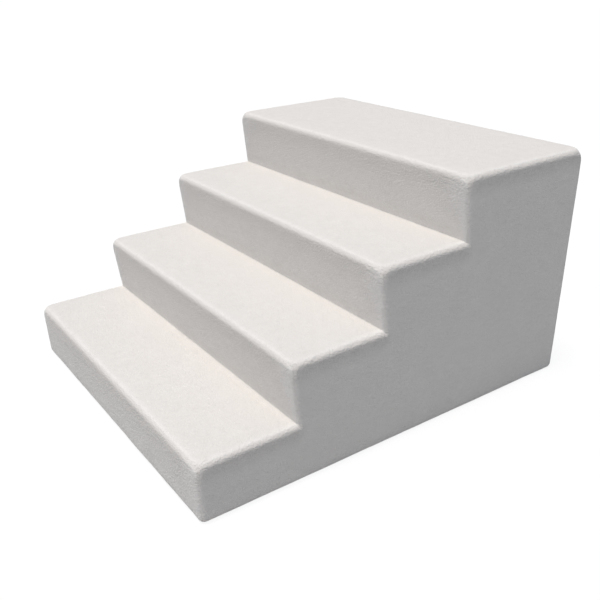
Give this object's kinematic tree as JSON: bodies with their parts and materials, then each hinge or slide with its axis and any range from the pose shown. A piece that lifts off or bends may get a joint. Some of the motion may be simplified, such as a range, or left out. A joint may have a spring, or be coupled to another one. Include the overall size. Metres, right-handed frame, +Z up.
{
  "type": "pet stairs",
  "caption": "Foam pet stairs with four steps in a plush cover that zips off at the back, on an anti-slip base.",
  "frame": {"origin": "on the floor at the centre of the footprint", "axes": "+X across the treads to the climber's right, +Y from the lowest riser to the back, +Z up"},
  "size_m": [0.64, 0.7313, 0.4],
  "materials": {
    "core_foam": "open-cell polyurethane foam",
    "pad_foam": "soft slow-recovery foam",
    "plush": "short warm off-white pile",
    "grip_fabric": "woven base cloth with small rubber dots",
    "zip_tape": "twill tape",
    "zip_teeth": "moulded teeth",
    "zip_metal": "painted die-cast metal"
  },
  "bodies": {
    "stairs": {"base_slab": "core_foam", "second_slab": "core_foam", "third_slab": "core_foam", "top_slab": "core_foam", "tread_pad_1": "pad_foam", "tread_pad_2": "pad_foam", "tread_pad_3": "pad_foam", "tread_pad_4": "pad_foam", "tread_panel_1": "plush", "tread_panel_2": "plush", "tread_panel_3": "plush", "tread_panel_4": "plush", "riser_panel_1": "plush", "riser_panel_2": "plush", "riser_panel_3": "plush", "riser_panel_4": "plush", "side_panel_left": "plush", "side_panel_right": "plush", "back_panel_lower": "plush", "back_panel_upper": "plush", "base_panel": "grip_fabric", "zip_tape_upper": "zip_tape", "zip_tape_lower": "zip_tape", "zip_teeth_upper": "zip_teeth", "zip_teeth_lower": "zip_teeth", "zip_top_stops": "zip_metal", "zip_bottom_stop": "zip_metal"},
    "slider": {"zip_slider": "zip_metal"},
    "pull": {"zip_pull": "zip_metal"}
  },
  "joints": [
    {"name": "zip_slide", "type": "slide", "parent": "stairs", "child": "slider", "axis": [-1, 0, 0], "range_m": [0, 0.5289], "deforming": ["zip_teeth_upper", "zip_teeth_lower"]},
    {"name": "pull_flip", "type": "hinge", "parent": "slider", "child": "pull", "pos_m": [0.2677, 0.3653, 0.058], "axis": [0, 0, -1], "range_deg": [0, 180]}
  ]
}
